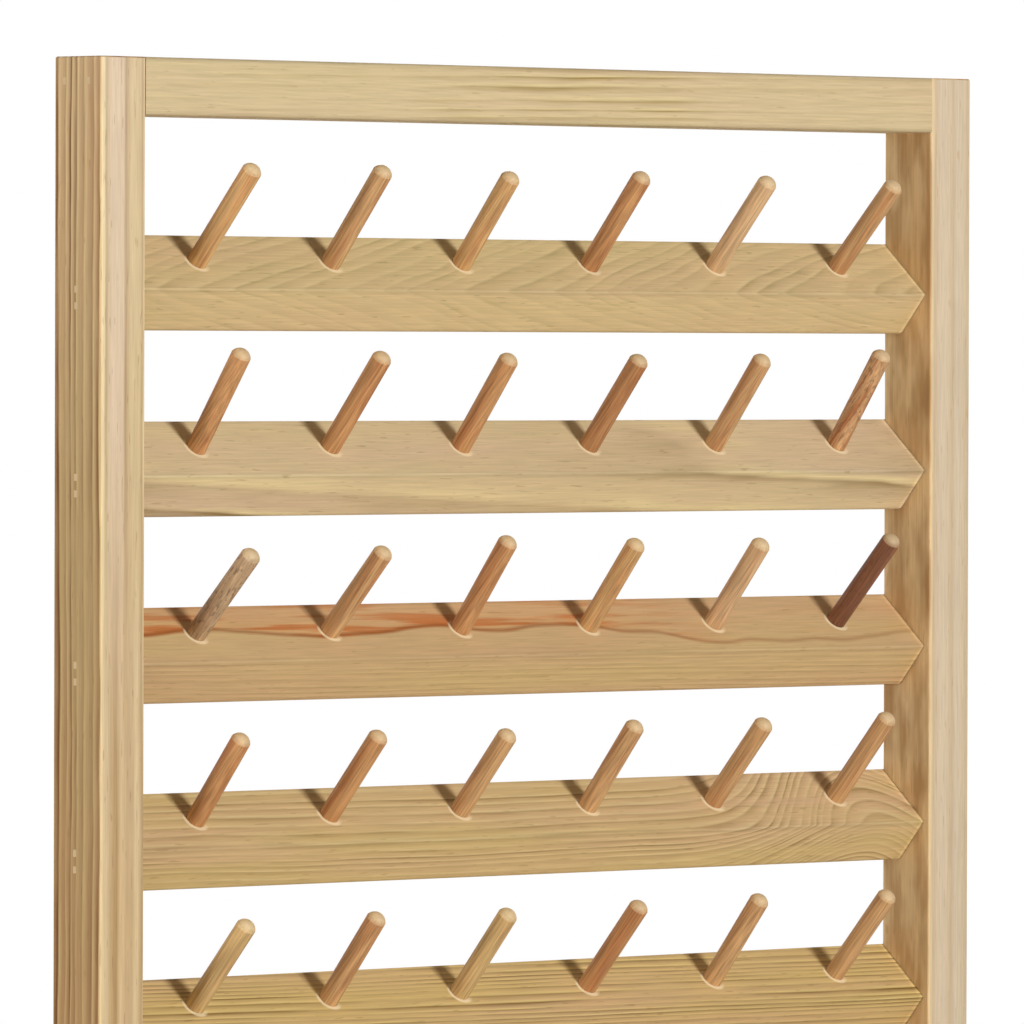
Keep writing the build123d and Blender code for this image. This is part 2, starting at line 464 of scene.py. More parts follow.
    def _painted_height_shade(self, at: Spot, wood: Socket) -> Socket:
        """Paint shade that browns the wood more and more from the top of an upright down to its middle.

        Args:
            at: The point of the board.
            wood: Colour so far.

        Returns:
            Colour after it.
        """
        if self.painted_low_shade == (1.0, 1.0, 1.0):
            return wood
        low, high = self.painted_low_shade_from
        height = add(at.tree, "MapRange", {VALUE: at.along, FROM_LOW: low, FROM_HIGH: high})
        tint = add(at.tree, "Mix", {SHARE: height, UNDER: self.painted_low_shade + (1.0,), OVER: WHITE}, **COLOURS)
        return add(at.tree, "VectorMath", {0: wood, 1: tint}, operation="MULTIPLY")

    def _banded(self, at: Spot, wood: Socket) -> Socket:
        """Lay broad stripes on the front, swaying a little along the board, with painted light that makes them
        paler towards its top.

        Args:
            at: The point of the board.
            wood: Colour so far.

        Returns:
            Colour after it.
        """
        bands = self.bands
        if bands is None:
            return wood
        tree = at.tree
        sway = wood_noise(tree, at.place, Pattern.SWAY, self.seed)
        moved = add(tree, "Math", {0: sway, 1: bands.sway, 2: at.across}, operation="MULTIPLY_ADD")
        low, high = bands.stops[0][0], bands.stops[-1][0]
        edges = {VALUE: moved, FROM_LOW: low + bands.sway / 2, FROM_HIGH: high + bands.sway / 2}
        place = add(tree, "MapRange", edges)
        layers = []
        for stripes in (bands.low_stops or bands.stops, bands.stops):
            stops = tuple(((spot - low) / (high - low), linear(code)) for spot, code in stripes)
            layers.append(add(tree, "ValToRGB", {0: place}, stops=stops))
        start, end = bands.turn_over
        halfway = add(tree, "MapRange", {VALUE: at.along, FROM_LOW: start, FROM_HIGH: end})
        striped = add(tree, "Mix", {SHARE: halfway, UNDER: layers[0], OVER: layers[1]}, **COLOURS)
        start, end = bands.painted_top_light_from
        painted_top_light = add(tree, "MapRange", {VALUE: at.along, FROM_LOW: start, FROM_HIGH: end, TO_HIGH: bands.painted_top_light})
        colour = add(tree, "Mix", {SHARE: painted_top_light, UNDER: striped, OVER: linear(bands.painted_top_light_colour)}, **COLOURS)
        front = {VALUE: at.facing[1], FROM_LOW: -0.7, FROM_HIGH: -0.95, TO_HIGH: bands.share}
        share = add(tree, "MapRange", front)
        return add(tree, "Mix", {SHARE: share, UNDER: wood, OVER: colour}, **COLOURS)

    def _hearted(self, at: Spot, wood: Socket) -> Socket:
        """Lay heartwood along the top of the slope, in streaks that come and go, with a darker edge.

        Args:
            at: The point of the board.
            wood: Colour so far.

        Returns:
            Colour after it.
        """
        heart = self.heart
        if heart is None or self.slope is None:
            return wood
        tree = at.tree
        wave = wood_noise(tree, at.place, Pattern.WAVE, self.seed)
        low, high = heart.above - heart.wave, heart.above + heart.wave
        start = add(tree, "MapRange", {VALUE: wave, FROM_LOW: 0.25, FROM_HIGH: 0.75, TO_LOW: low, TO_HIGH: high})
        fade = {VALUE: at.along, FROM_LOW: heart.fade[0], FROM_HIGH: heart.fade[1]}
        gone = add(tree, "MapRange", fade, interpolation_type="SMOOTHSTEP")
        start = add(tree, "Math", {0: gone, 1: -heart.fall, 2: start}, operation="MULTIPLY_ADD")
        past = add(tree, "Math", {0: self.slope.height(at), 1: start}, operation="SUBTRACT")
        depth = add(tree, "MapRange", {VALUE: past, FROM_LOW: -1.0, FROM_HIGH: 9.0})
        inside = add(tree, "ValToRGB", {0: depth}, stops=((0.0, 0.0), (0.12, 0.9), (0.5, 0.7), (1.0, 0.5)))
        left = add(tree, "MapRange", {VALUE: gone, TO_LOW: 1.0, TO_HIGH: 0.12})
        inside = add(tree, "Math", {0: inside, 1: left}, operation="MULTIPLY")
        tinge = add(tree, "Math", {0: inside, 1: heart.tint_share}, operation="MULTIPLY")
        wood = add(tree, "Mix", {SHARE: tinge, UNDER: wood, OVER: linear(heart.tint)}, **COLOURS)
        streak = wood_noise(tree, at.place, Pattern.STREAK, self.seed)
        streaks = add(tree, "ValToRGB", {0: streak}, stops=((0.46, 0.0), (0.6, heart.strength)))
        share = add(tree, "Math", {0: inside, 1: streaks}, operation="MULTIPLY")
        wood = add(tree, "Mix", {SHARE: share, UNDER: wood, OVER: linear(heart.colour)}, **COLOURS)
        beside = add(tree, "MapRange", {VALUE: past, FROM_LOW: -1.2, FROM_HIGH: 1.6})
        edge = add(tree, "ValToRGB", {0: beside}, stops=((0.0, 0.0), (0.5, 0.65), (1.0, 0.0)))
        left = add(tree, "MapRange", {VALUE: gone, TO_LOW: 1.0, TO_HIGH: 0.6})
        edge = add(tree, "Math", {0: edge, 1: left}, operation="MULTIPLY")
        return add(tree, "Mix", {SHARE: edge, UNDER: wood, OVER: linear(heart.edge_colour)}, **COLOURS)

    def _flecked(self, at: Spot, wood: Socket) -> Socket:
        """Scatter short dark dashes of resin ducts.

        Args:
            at: The point of the board.
            wood: Colour so far.

        Returns:
            Colour after it.
        """
        duct = wood_noise(at.tree, at.place, Pattern.DUCT, self.seed)
        share = add(at.tree, "ValToRGB", {0: duct}, stops=((0.74, 0.0), (0.8, 0.3)))
        return add(at.tree, "Mix", {SHARE: share, UNDER: wood, OVER: linear(self.late)}, **COLOURS)

    def _painted_rim_highlight(self, at: Spot, wood: Socket) -> Socket:
        """Paint a pale highlight on the lower left of each socket's rim.

        Args:
            at: The point of the board.
            wood: Colour so far.

        Returns:
            Colour after it.
        """
        slope = self.slope
        if slope is None:
            return wood
        tree = at.tree
        beside, half = at.along, slope.pitch / 2
        steps = (("SUBTRACT", slope.first - half), ("FLOORED_MODULO", slope.pitch), ("SUBTRACT", half))
        for operation, by in steps:
            beside = add(tree, "Math", {0: beside, 1: by}, operation=operation)
        flat = add(tree, "CombineXYZ", {0: beside, 1: slope.height(at)})
        radius = add(tree, "VectorMath", {0: flat}, "Value", operation="LENGTH")
        down_left = (-0.8, -0.6, 0.0)
        side = add(tree, "VectorMath", {0: flat, 1: down_left}, "Value", operation="DOT_PRODUCT")
        turned = add(tree, "Math", {0: side, 1: radius}, operation="DIVIDE")
        lower_left = add(tree, "MapRange", {VALUE: turned, FROM_LOW: -0.45, FROM_HIGH: 0.35})
        reach = add(tree, "MapRange", {VALUE: radius, FROM_LOW: slope.rim, FROM_HIGH: slope.rim - slope.rim_fade})
        depth, rise = slope.uphill
        face = add(tree, "VectorMath", {0: at.normal, 1: (0.0, -rise, depth)}, "Value", operation="DOT_PRODUCT")
        here = add(tree, "MapRange", {VALUE: face, FROM_LOW: 0.8, FROM_HIGH: 0.95, TO_HIGH: slope.rim_highlight_share})
        share = add(tree, "Math", {0: lower_left, 1: reach}, operation="MULTIPLY")
        share = add(tree, "Math", {0: share, 1: here}, operation="MULTIPLY")
        return add(tree, "Mix", {SHARE: share, UNDER: wood, OVER: linear(slope.rim_highlight_colour)}, **COLOURS)

    def _ended(self, at: Spot, wood: Socket) -> Socket:
        """Scale the colour of the end grain, down for its darker tone and up for painted light, and paint a thin
        dark line where the board is butted, partly glue and partly painted contact shadow, beside a painted
        highlight on the sawn edge.

        Args:
            at: The point of the board.
            wood: Colour so far.

        Returns:
            Colour after it.
        """
        tree = at.tree
        face = add(tree, "Math", {0: at.facing[self.grain.value[0]]}, operation="ABSOLUTE")
        cut = {VALUE: face, FROM_LOW: 0.6, FROM_HIGH: 0.95, TO_LOW: 1.0, TO_HIGH: self.end_grain_and_painted_light}
        wood = add(tree, "VectorMath", {0: wood, "Scale": add(tree, "MapRange", cut)}, operation="SCALE")
        if not self.joint_at:
            return wood
        away = add(tree, "Math", {0: at.along}, operation="ABSOLUTE")
        short = add(tree, "Math", {0: self.joint_at, 1: away}, operation="SUBTRACT")
        place = add(tree, "MapRange", {VALUE: short, FROM_HIGH: self.joint_width})
        # A ramp ends at one, so it holds half of each factor.
        halves = ((0.0, 0.3), (0.16, 0.34), (0.3, 0.62), (0.55, 0.56), (0.8, 0.5))
        half = add(tree, "ValToRGB", {0: place}, stops=halves)
        light = add(tree, "Math", {0: half, 1: 2.0}, operation="MULTIPLY")
        return add(tree, "VectorMath", {0: wood, "Scale": light}, operation="SCALE")

    def _painted_arris_light(self, at: Spot, wood: Socket) -> Socket:
        """Paint light along the arrises: a painted highlight where the scale is over one, painted shade where it
        is under one.

        Args:
            at: The point of the board.
            wood: Colour so far.

        Returns:
            Colour after it.
        """
        if not self.arrises:
            return wood
        tree = at.tree
        nearest = None
        for arris in self.arrises:
            flat = add(tree, "CombineXYZ", {0: at.across, 1: at.up})
            away = add(tree, "VectorMath", {0: flat, 1: arris + (0.0,)}, "Value", operation="DISTANCE")
            closer = {0: nearest, 1: away}
            nearest = away if nearest is None else add(tree, "Math", closer, operation="MINIMUM")
        near, far = self.arris_painted_light_reach
        arris_light_map = {VALUE: nearest, FROM_LOW: near, FROM_HIGH: far, TO_LOW: self.arris_painted_light, TO_HIGH: 1.0}
        light = add(tree, "MapRange", arris_light_map)
        return add(tree, "VectorMath", {0: wood, "Scale": light}, operation="SCALE")


class PegTone(Enum):
    """One kind of dowel stick: its colour, and how strong its red streaks and its dark specks are."""

    HONEY = ("#D9AC73", 0.5, 0.0)
    RUSSET = ("#CC9763", 0.65, 0.0)
    SAND = ("#DDB587", 0.35, 0.0)
    AMBER = ("#D1A471", 0.5, 0.0)
    ASH = ("#BE9E7A", 0.3, 0.6)
    WALNUT = ("#805238", 0.3, 0.3)
    STRAW = ("#D6B37A", 0.3, 0.0)
    CHESTNUT = ("#B88455", 0.6, 0.0)
    TIGER = ("#D3A474", 0.9, 0.6)


@dataclass(frozen=True)
class DowelFinish:
    """Sanded birch dowel, unfinished: close reddish grain along the peg, a faint gloss, paler end grain."""

    tones: tuple[PegTone, ...]
    pitch: float
    first: float
    axis_angle: float
    row: int
    streak: str = "#AE6C40"
    speck: str = "#4A2F22"
    end_grain: str = "#DFC69A"
    fibre_shade: tuple[float, float] = (0.7, 1.23)
    rough: float = 0.5
    relief: float = 0.1

    def make(self) -> bpy.types.Material:
        """Build the material of one row, which gives each peg in it its own tone.

        Returns:
            The material.
        """
        material, tree = new_material(f"birch_dowel_row_{self.row}")
        coords = add(tree, "TexCoord").node.outputs
        turn = {0: coords["Object"], "Rotation": (-self.axis_angle, 0, 0), "Scale": (1 / MM,) * 3}
        stick = add(tree, "Mapping", turn)
        tone, streaky, specky = self._by_peg(tree, coords["Object"])
        band = wood_noise(tree, stick, Pattern.PEG_BAND)
        red = add(tree, "ValToRGB", {0: band}, stops=((0.46, 0.0), (0.64, 1.0)))
        red = add(tree, "Math", {0: red, 1: streaky}, operation="MULTIPLY")
        wood = add(tree, "Mix", {SHARE: red, UNDER: tone, OVER: linear(self.streak)}, **COLOURS)
        fibre = wood_noise(tree, stick, Pattern.PEG_FIBRE)
        low, high = self.fibre_shade
        shade = add(tree, "MapRange", {VALUE: fibre, FROM_LOW: 0.32, FROM_HIGH: 0.68, TO_LOW: low, TO_HIGH: high})
        wood = add(tree, "VectorMath", {0: wood, "Scale": shade}, operation="SCALE")
        specks = wood_noise(tree, stick, Pattern.PEG_SPECK)
        dark = add(tree, "ValToRGB", {0: specks}, stops=((0.56, 0.0), (0.66, 0.75)))
        dark = add(tree, "Math", {0: dark, 1: specky}, operation="MULTIPLY")
        wood = add(tree, "Mix", {SHARE: dark, UNDER: wood, OVER: linear(self.speck)}, **COLOURS)
        axis = (0.0, -math.sin(self.axis_angle), math.cos(self.axis_angle))
        facing = add(tree, "VectorMath", {0: coords["Normal"], 1: axis}, "Value", operation="DOT_PRODUCT")
        crown = add(tree, "ValToRGB", {0: facing}, stops=((0.25, 0.0), (0.75, 0.7)))
        wood = add(tree, "Mix", {SHARE: crown, UNDER: wood, OVER: linear(self.end_grain)}, **COLOURS)
        bump = add(tree, "Bump", {"Height": fibre, "Strength": 0.4, "Distance": self.relief * MM})
        shader = add(
            tree, "BsdfPrincipled",
            {"Base Color": wood, "Roughness": self.rough, "Normal": bump, "IOR": WOOD_IOR,
             "Specular IOR Level": SANDED_DOWEL_SPECULAR},
        )
        add(tree, "OutputMaterial", {0: shader})
        return material

    def _by_peg(self, tree: Tree, place: Socket) -> tuple[Socket, Socket, Socket]:
        """Give the stretch of the row that each peg stands in its own tone.

        Args:
            tree: Node tree of the material.
            place: The point that is being shaded, in metres.

        Returns:
            Colour of the peg there, and how strong its streaks and its specks are.
        """
        x = add(tree, "SeparateXYZ", {0: place})
        start, count = self.first - self.pitch / 2, len(self.tones)
        share = add(tree, "MapRange", {VALUE: x, FROM_LOW: start, FROM_HIGH: start + self.pitch * count})
        colours = [linear(tone.value[0]) for tone in self.tones]
        kinds = [tone.value[1:] + (0.0, 1.0) for tone in self.tones]
        steps = []
        for levels in (colours, kinds):
            stops = tuple((column / count, level) for column, level in enumerate(levels))
            steps.append(add(tree, "ValToRGB", {0: share}, stops=stops))
            steps[-1].node.color_ramp.interpolation = "CONSTANT"
        strengths = add(tree, "SeparateXYZ", {0: steps[1]}).node.outputs
        return steps[0], strengths[0], strengths[1]


@dataclass(frozen=True)
class FillerFinish:
    """Wood filler, sanded flush: a pale, chalky and slightly grainy paste without any gloss."""

    name: str = "wood_filler"
    colour: str = "#D8BC92"
    grit: float = 0.4  # millimetres, about four times as coarse as real filler, to show
    rough: float = 0.85
    relief: float = 0.05

    def make(self) -> bpy.types.Material:
        """Build the material.

        Returns:
            The material.
        """
        material, tree = new_material(self.name)
        place = add(tree, "TexCoord", out="Object")
        grit = add(tree, "TexNoise", {"Vector": place, "Scale": 1 / (self.grit * MM), "Detail": 2.0})
        shade = add(tree, "MapRange", {VALUE: grit, TO_LOW: 0.88, TO_HIGH: 1.06})
        colour = add(tree, "VectorMath", {0: linear(self.colour)[:3], "Scale": shade}, operation="SCALE")
        bump = add(tree, "Bump", {"Height": grit, "Strength": 0.3, "Distance": self.relief * MM})
        shader = add(tree, "BsdfPrincipled", {"Base Color": colour, "Roughness": self.rough, "Normal": bump})
        add(tree, "OutputMaterial", {0: shader})
        return material


@dataclass(frozen=True)
class SteelFinish:
    """Drawn or zinc-plated steel: a bright metal, slightly clouded where its skin is uneven."""

    name: str
    colour: str
    rough: float
    clouds_per_mm: float = 0.6
    relief: float = 0.03

    def make(self) -> bpy.types.Material:
        """Build the material.

        Returns:
            The material.
        """
        material, tree = new_material(self.name)
        place = add(tree, "TexCoord", out="Object")
        cloud = add(tree, "TexNoise", {"Vector": place, "Scale": self.clouds_per_mm / MM, "Detail": 3.0})
        shade = add(tree, "MapRange", {VALUE: cloud, TO_LOW: 0.8, TO_HIGH: 1.1})
        colour = add(tree, "VectorMath", {0: linear(self.colour)[:3], "Scale": shade}, operation="SCALE")
        smooth, dull = self.rough - 0.06, self.rough + 0.08
        rough = add(tree, "MapRange", {VALUE: cloud, TO_LOW: smooth, TO_HIGH: dull})
        bump = add(tree, "Bump", {"Height": cloud, "Strength": 0.15, "Distance": self.relief * MM})
        feeds = {"Base Color": colour, "Metallic": 1.0, "Roughness": rough, "Normal": bump}
        add(tree, "OutputMaterial", {0: add(tree, "BsdfPrincipled", feeds)})
        return material


def middle(node: str) -> Vector:
    """Middle of a node's box, in metres."""
    low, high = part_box(node)
    return (low + high) / 2


def half_size(node: str) -> Vector:
    """Half of the size of a node's box, in millimetres."""
    low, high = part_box(node)
    return (high - low) / 2 / MM


def peg_x(row: int, column: int) -> float:
    """Place of a peg along its rail, in metres, from the record's mounts."""
    name = f"peg_{row:02d}_{column}"
    return next(mount["pos_m"][0] for mount in frame["record"]["mounts"] if mount["name"] == name)


def dress(node: str, material: bpy.types.Material) -> None:
    """Give a node its finish in place of the plain one it was packed with.

    Args:
        node: Name of the node.
        material: Its finish.
    """
    slots = frame["nodes"][node].data.materials
    slots.clear()
    slots.append(material)
    log.info("dressed %s in %s", node, material.name)


@dataclass
class Frame:
    """The two stiles and the two cross rails, of planed pine, each under the name of its node."""

    # Fine brown stripes on its side, broad straw and pinkish bands on its front, painted highlights on its
    # arrises; painted shade browns it low down, and painted light pales its front towards the top.
    left_stile: Pine = Pine(
        grain=Grain.UPRIGHT, pith=(3.0, 64.0), ring=3.3, wander=1.9, wander_length=170.0, ripple=0.45,
        early="#D8BC90", late="#865A38", pale="#E8CE9C", blush="#D2AA80", contrast=1.0,
        painted_low_shade=(0.755, 0.71, 0.605), seed=1.3,
        bands=Bands(
            stops=(
                (-9.25, "#E8D4A0"), (-8.0, "#EAD6A4"), (-7.1, "#B4966A"), (-6.2, "#D2B892"), (-4.6, "#DEC5A8"),
                (0.0, "#DCC2A2"), (0.9, "#A88458"), (1.9, "#C4A674"), (3.4, "#D9C08E"), (6.9, "#D3B884"),
                (7.9, "#AE8E5C"), (8.5, "#DCC898"), (9.25, "#EBD9AA"),
            ),
            low_stops=(
                (-9.25, "#E4CCA0"), (-8.0, "#E2CA9E"), (-6.0, "#D9C098"), (-5.0, "#CCB082"), (-2.4, "#B39264"),
                (-1.5, "#CDB084"), (-0.5, "#DDC194"), (0.6, "#D9BC90"), (1.6, "#CDB086"), (4.3, "#CCB086"),
                (5.4, "#DFC69A"), (6.4, "#DEC59A"), (7.4, "#CEB288"), (8.2, "#B4966A"), (9.25, "#DCC8A0"),
            ),
        ),
    )
    # Soft brown clouds on its inner side, and a cooler, nearly plain front with a little painted light towards its
    # top; painted highlights on its arrises.
    right_stile: Pine = Pine(
        grain=Grain.UPRIGHT, pith=(-20.0, 70.0), ring=3.4, wander=1.2, wander_length=420.0, early="#EFD1A0",
        late="#B4854A", pale="#F0D3A2", blush="#E6C08C", contrast=0.16, mottle=0.62, seed=4.1,
        bands=Bands(
            stops=(
                (-9.25, "#DCCAA4"), (-7.5, "#CFB896"), (-5.0, "#D7C5AC"), (-1.0, "#D6C4A8"), (1.2, "#C9B494"),
                (3.0, "#D6C6AE"), (6.5, "#D0BFA2"), (9.25, "#C0AC8C"),
            ),
            painted_top_light=0.12,
        ),
    )
    # Long level lines that are strongest in its middle; painted light on its end faces, where its joints lie in
    # shade, and painted shade along its arrises.
    top_rail: Pine = Pine(
        pith=(10.0, -70.0), ring=2.9, lean=(0.0, 0.012), wander=1.6, wander_length=240.0, early="#D6C297",
        late="#A2894F", pale="#DFCB98", blush="#D9BF99", contrast=0.85, busy=(6.0, 62.0), end_grain_and_painted_light=1.5,
        arris_painted_light=0.78, seed=2.2,
    )
    # Much as the top rail, with its lines a little aslant, but with painted highlights on its arrises.
    bottom_rail: Pine = Pine(
        pith=(-28.0, -50.0), ring=2.8, lean=(0.0, -0.02), wander=2.2, wander_length=190.0, early="#D6C094",
        blush="#DCC09A", seed=7.7,
    )

    def build(self) -> None:
        """Dress the four boards, each with arrises where its own section has them."""
        for node, cut in vars(self).items():
            half = half_size(node)
            order = cut.grain.value
            a, b = half[order[1]], half[order[2]]
            arrises = ((a, b), (a, -b), (-a, b), (-a, -b))
            dress(node, replace(cut, arrises=arrises).make(node))


@dataclass
class PegRails:
    """The ten peg rails, each sawn from another board, so that no two have the same figure."""

    depth: float = 18.8
    nose_drop: float = 16.9
    # Painted shade along the nose and the crest of each rail.
    arris_painted_light: float = 0.87
    seed_step: float = 1.7
    cuts: tuple[Pine, ...] = (
        # 1: short strokes slantwise over the slope.
        Pine(pith=(-58.0, 8.0), ring=3.4, lean=(0.24, 0.0), wander=3.6, wander_length=70.0, contrast=0.17,
             quiet_top=2.0, early="#DDC490", late="#8F7A42", blush="#DEC192"),
        # 2: a few long curved lines under the nose.
        Pine(pith=(40.0, -45.0), ring=9.6, lean=(0.041, -0.045), wander=1.6, contrast=0.85, quiet_top=0.4,
             early="#DEC69A", late="#8C7038", blush="#DEC3A0"),
        # 3: orange heartwood along the crest, plain pale wood below it.
        Pine(pith=(40.0, -45.0), ring=2.2, lean=(0.004, -0.005), wander=1.6, contrast=0.4, quiet_top=0.35,
             early="#D5B882", pale="#E2C88E", blush="#D4B084",
             heart=Heart(above=0.5, fade=(25.0, 90.0), fall=7.5)),
        # 4: long lines that rise into arches towards the right.
        Pine(pith=(5.0, -60.0), ring=2.3, arch=(156.0, 42.0, 30.0), wander=2.0, contrast=0.62,
             wander_length=150.0, early="#D8BC82", pale="#E6D09A", late="#967440", blush="#DCB88E"),
        # 5: close, even and strong stripes.
        Pine(pith=(-5.0, -70.0), ring=1.65, lean=(0.0, -0.012), wander=1.0, uneven=0.5, contrast=0.8,
             early="#D8BA7A", pale="#EAD08A", late="#805E2C", blush="#DAB686"),
        # 6 and 7: quiet boards with a few slanting lines.
        Pine(pith=(26.0, 44.0), ring=2.8, lean=(0.03, -0.02), wander=3.0, contrast=0.5),
        Pine(pith=(-44.0, -32.0), ring=2.4, lean=(0.02, 0.0), wander=2.0, contrast=0.5, quiet_top=0.5),
        # 8: a low arch right of its middle.
        Pine(pith=(14.0, -50.0), ring=3.2, arch=(60.0, 60.0, 18.0), wander=3.0, contrast=0.5),
        # 9: fine lines, with a narrow seam of heartwood.
        Pine(pith=(44.0, 10.0), ring=2.1, lean=(0.0, 0.02), wander=1.8, contrast=0.65,
             heart=Heart(above=4.0, strength=0.4)),
        # 10: wide lines, a little aslant.
        Pine(pith=(-30.0, -46.0), ring=3.1, lean=(0.04, 0.03), wander=3.0, contrast=0.45),
    )

    def build(self) -> None:
        """Dress the rails from top to bottom."""
        for number, cut in enumerate(self.cuts, start=1):
            node = f"peg_rail_{number}"
            half = half_size(node)
            first, second = (peg_x(number, column) for column in (1, 2))
            slope = Slope(
                run=self.depth, drop=self.nose_drop, first=(first - middle(node).x) / MM,
                pitch=(second - first) / MM, middle=(0.0, half.z - self.nose_drop / 2),
            )
            nose, crest = (-half.y, half.z - self.nose_drop), (half.y, half.z)
            finish = replace(
                cut, joint_at=half.x, slope=slope, arrises=(nose, crest), arris_painted_light=self.arris_painted_light,
                seed=self.seed_step * number,
            )
            dress(node, finish.make(node))


@dataclass
class Pegs:
    """The sixty dowel pegs."""

    tones: str = "HAHRSA/RRRCAT/GARHSW/RRAAAA/LALRAA/RHASRH/SARHRA/HRGASR/ARHRSH/RSARHA"
    letters: str = "HRSAGWLCT"  # one for each member of PegTone, in its order
    face_angle: float = math.atan2(PegRails.nose_drop, PegRails.depth)

    def build(self) -> None:
        """Dress the rows, one letter of the list for each peg."""
        kinds = dict(zip(self.letters, PegTone))
        for number, row in enumerate(self.tones.split("/"), start=1):
            first, second = (peg_x(number, column) for column in (1, 2))
            finish = DowelFinish(
                tones=tuple(kinds[letter] for letter in row),
                pitch=second - first, first=first, axis_angle=self.face_angle, row=number,
            )
            dress(f"pegs_row_{number}", finish.make())


@dataclass
class Feet:
    """The two side feet, of the same pine, with the grain along the foot."""

    # Lines that run out of the sloping ends, and darker end grain.
    cut: Pine = Pine(
        grain=Grain.DEEP, pith=(26.0, -40.0), ring=2.9, lean=(0.0, 0.04), wander=3.0, wander_length=150.0,
        early="#D4BC90", seed=9.1,
    )

    def build(self) -> None:
        """Dress both feet, each from its own stretch of the board."""
        for index, node in enumerate(("left_foot", "right_foot")):
            dress(node, replace(self.cut, seed=self.cut.seed + index).make(node))


@dataclass
class Fixings:
    """Brads, the filler over them, and the screws of the feet."""

    smear_height: float = 1.1
    smear_width: float = 0.7
    smear_proud: float = 0.04
    swell: tuple[float, float] = (0.88, 1.12)
    plug_gap: float = 4.0
    flush: float = 0.01
    points: int = 20
    seed: int = 5

    def build(self) -> None:
        """Dress the fixings and add the film of filler that sanding leaves round each plug."""
        filler = FillerFinish().make()
        # Bare drawn wire: cool, bright and smooth.
        brad = SteelFinish("bright_brad_steel", "#B8B8BC", 0.35).make()
        # Zinc plate, passivated: bright, with a yellowish cast.
        screw = SteelFinish("zinc_plated_screw", "#CBC19A", 0.3).make()
        draw = random.Random(self.seed)
        for side, sign in (("left", -1), ("right", 1)):
            dress(f"{side}_brads", brad)
            dress(f"{side}_foot_screws", screw)
            dress(f"{side}_fillers", filler)
            self._smears(side, sign, filler, draw)

    def _plug_places(self, side: str) -> list[Vector]:
        """Find the plugs of filler on a stile.

        Args:
            side: Left or right.

        Returns:
            Middle of the outer face of each plug, in metres.
        """
        mesh = frame["nodes"][f"{side}_fillers"].data
        low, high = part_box(f"{side}_fillers")
        outer = low.x if side == "left" else high.x
        spots = [v.co for v in mesh.vertices if abs(v.co.x - outer) < self.flush * MM]
        groups: list[list[Vector]] = []
        for spot in sorted(spots, key=lambda co: (round(co.z / MM), co.y)):
            near = next((g for g in groups if (g[0] - spot).length < self.plug_gap * MM), None)
            if near is None:
                groups.append([spot])
            else:
                near.append(spot)
        return [sum(g, Vector()) / len(g) for g in groups]

    def _smears(self, side: str, sign: int, filler: bpy.types.Material, draw: random.Random) -> None:
        """Build the thin uneven discs of filler on the outer face of a stile.

        Args:
            side: Left or right.
            sign: Direction of that side along X.
            filler: Finish of the discs.
            draw: Source of the uneven outline.
        """
        shape = bmesh.new()
        for place in self._plug_places(side):
            rim = []
            for step in range(self.points):
                turn = 2 * math.pi * step / self.points
                swell = draw.uniform(*self.swell)
                y = self.smear_width * swell * math.cos(turn) * MM
                z = self.smear_height * swell * math.sin(turn) * MM
                rim.append(shape.verts.new(place + Vector((0, y, z))))
            crown = shape.verts.new(place + Vector((sign * self.smear_proud * MM, 0, 0)))
            for a, b in zip(rim, rim[1:] + rim[:1]):
                shape.faces.new((a, b, crown) if sign > 0 else (b, a, crown))
        mesh = bpy.data.meshes.new(f"{side}_filler_smears")
        shape.to_mesh(mesh)
        shape.free()
        piece = bpy.data.objects.new(mesh.name, mesh)
        bpy.context.scene.collection.objects.link(piece)
        mesh.materials.append(filler)
        for face in mesh.polygons:
            face.use_smooth = True
        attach(piece, "root")
        log.info("added %s", piece.name)


@dataclass(frozen=True)
class Lamp:
    """Square soft lamp: degrees to the right of the front and above the horizon, metres, and watts."""

    name: str
    side: float
    height: float
    distance: float
    size: float
    power: float

    def build(self, aim: Vector) -> None:
        """Hang the lamp so that it looks at a point.

        Args:
            aim: The point, in metres.
        """
        a, e = math.radians(self.side), math.radians(self.height)
        out = Vector((math.sin(a) * math.cos(e), -math.cos(a) * math.cos(e), math.sin(e)))
        data = bpy.data.lights.new(self.name, "AREA")
        data.size = self.size
        data.energy = self.power
        lamp = bpy.data.objects.new(self.name, data)
        lamp.location = aim + out * self.distance
        lamp.rotation_mode = "QUATERNION"
        lamp.rotation_quaternion = (-out).to_track_quat("-Z", "Y")
        lamp.visible_camera = False
        bpy.context.scene.collection.objects.link(lamp)


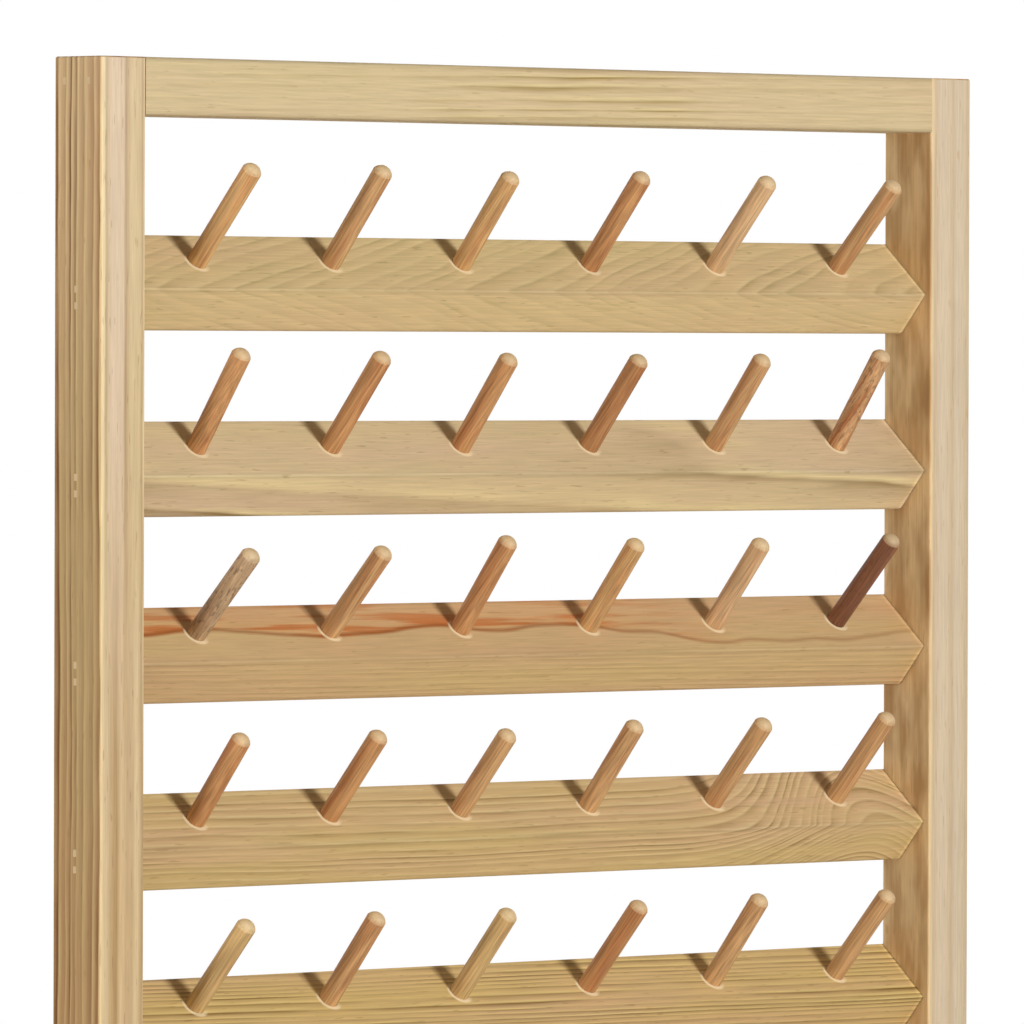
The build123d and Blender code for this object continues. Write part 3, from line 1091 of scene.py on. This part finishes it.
@dataclass
class Studio:
    """Pale floor, white surroundings, soft lamps and the camera."""

    target: tuple[float, float, float] = (0.0036, 0.0105, 0.50295)
    distance: float = 3.694
    yaw: float = 45.0
    pitch: float = 0.789
    roll: float = 0.165
    focal_px: float = 11677.0
    sensor: float = 36.0
    reach: float = 100.0
    floor_size: float = 60.0
    floor_colour: str = "#F4F2EE"
    floor_glow: float = 0.5
    floor_fade: tuple[float, float] = (0.3, 1.8)
    ambient: float = 0.05
    ambient_colour: str = "#FFE0BC"
    aim_height: float = 0.45
    lamps: tuple[Lamp, ...] = (
        Lamp("key", side=1.0, height=16.5, distance=5.0, size=0.9, power=171.0),
        Lamp("side_fill", side=-90.0, height=8.0, distance=2.0, size=0.9, power=19.0),
        Lamp("rear_fill", side=135.0, height=24.0, distance=3.2, size=1.2, power=44.0),
    )

    def build(self) -> None:
        """Set up everything round the rack."""
        self._camera()
        self._world()
        self._floor()
        for lamp in self.lamps:
            lamp.build(Vector((0, 0, self.aim_height)))
        bpy.context.scene.view_settings.view_transform = "Standard"

    def _camera(self) -> None:
        """Place a camera as far away, as long in the lens and as level as the photograph's."""
        yaw, pitch, roll = (math.radians(a) for a in (self.yaw, self.pitch, self.roll))
        ahead = Vector((math.sin(yaw) * math.cos(pitch), math.cos(yaw) * math.cos(pitch), -math.sin(pitch)))
        level = Vector((math.cos(yaw), -math.sin(yaw), 0))
        over = level.cross(ahead)
        right = math.cos(roll) * level + math.sin(roll) * over
        up = -math.sin(roll) * level + math.cos(roll) * over
        data = bpy.data.cameras.new("camera")
        data.sensor_width = self.sensor
        data.lens = self.focal_px / PHOTO_WIDTH_PX * self.sensor
        data.clip_end = self.reach
        camera = bpy.data.objects.new("camera", data)
        place = Vector(self.target) - self.distance * ahead
        turn = Matrix((right, up, -ahead)).transposed().to_4x4()
        camera.matrix_world = Matrix.Translation(place) @ turn
        bpy.context.scene.collection.objects.link(camera)
        bpy.context.scene.camera = camera

    def _world(self) -> None:
        """Make the surroundings white to the eye and in gloss, and a softer level as light on the rack."""
        world = bpy.data.worlds.new("studio")
        world.use_nodes = True
        tree = world.node_tree
        tree.nodes.clear()
        path = add(tree, "LightPath").node.outputs
        seen = path["Is Camera Ray"]
        for ray in ("Is Glossy Ray", "Is Transmission Ray"):
            seen = add(tree, "Math", {0: seen, 1: path[ray]}, operation="MAXIMUM")
        level = add(tree, "MapRange", {VALUE: seen, TO_LOW: self.ambient, TO_HIGH: 1.0})
        colour = add(tree, "Mix", {SHARE: seen, UNDER: linear(self.ambient_colour), OVER: WHITE}, **COLOURS)
        add(tree, "OutputWorld", {0: add(tree, "Background", {0: colour, 1: level})})
        bpy.context.scene.world = world

    def _floor(self) -> None:
        """Lay a plain pale floor that keeps the shadow of the rack."""
        half = self.floor_size / 2
        corners = [(-half, -half, 0), (half, -half, 0), (half, half, 0), (-half, half, 0)]
        mesh = bpy.data.meshes.new("floor")
        mesh.from_pydata(corners, [], [(0, 1, 2, 3)])
        floor = bpy.data.objects.new("floor", mesh)
        bpy.context.scene.collection.objects.link(floor)
        mesh.materials.append(self._floor_paint())

    def _floor_paint(self) -> bpy.types.Material:
        """Mix a matt pale paint that turns to plain white for the eye further from the rack.

        Returns:
            The material.
        """
        material, tree = new_material("matt_floor_paint")
        place = add(tree, "TexCoord", out="Object")
        away = add(tree, "VectorMath", {0: place}, "Value", operation="LENGTH")
        near, far = self.floor_fade
        fade = add(tree, "MapRange", {VALUE: away, FROM_LOW: near, FROM_HIGH: far, TO_LOW: self.floor_glow})
        seen = add(tree, "LightPath", out="Is Camera Ray")
        share = add(tree, "Math", {0: fade, 1: seen}, operation="MULTIPLY")
        paint = add(tree, "BsdfDiffuse", {0: linear(self.floor_colour)})
        white = add(tree, "Emission", {0: WHITE, 1: 1.0})
        add(tree, "OutputMaterial", {0: add(tree, "MixShader", {0: share, 1: paint, 2: white})})
        return material


def main() -> None:
    """Build each part of the picture in order."""
    logging.basicConfig(level=logging.INFO, format="%(message)s")
    for part in (Studio(), Frame(), PegRails(), Pegs(), Feet(), Fixings()):
        part.build()
        log.info("built %s", type(part).__name__)


if __name__ == "__main__":
    main()
